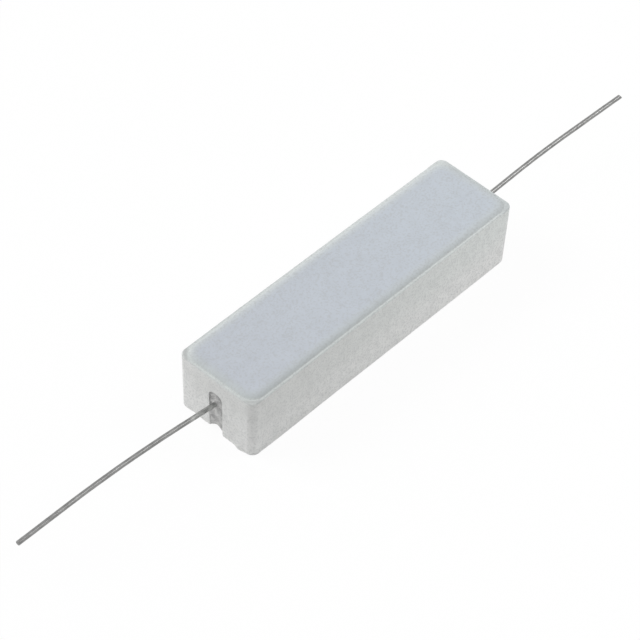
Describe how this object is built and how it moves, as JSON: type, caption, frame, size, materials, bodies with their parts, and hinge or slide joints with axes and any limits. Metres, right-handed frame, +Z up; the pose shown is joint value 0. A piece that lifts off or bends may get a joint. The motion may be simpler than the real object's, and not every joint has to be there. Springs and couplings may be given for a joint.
{
  "type": "cement resistor",
  "caption": "Long rectangular ceramic-cased, cement-filled wirewound power resistor with a stiff axial lead from each end.",
  "frame": {"origin": "in the plane of the case's open rim, midway between the lead tips to within half a millimetre and midway between the side walls", "axes": "+X along the leads towards the rear lead, +Y towards the side of the front end whose leg is short, +Z up through the closed, crowned face"},
  "size_m": [0.1091, 0.0124, 0.01],
  "materials": {
    "pressed_ceramic": "matte",
    "potting_cement": "matte",
    "core_ceramic": "matte",
    "resistance_alloy": "satin",
    "cap_steel": "satin",
    "tinned_copper": "satin"
  },
  "bodies": {
    "root": {"ceramic_case": "pressed_ceramic", "cement_filling": "potting_cement", "core_rod": "core_ceramic", "resistance_winding": "resistance_alloy", "end_cap_front": "cap_steel", "end_cap_rear": "cap_steel", "lead_front": "tinned_copper", "lead_rear": "tinned_copper"}
  },
  "joints": []
}
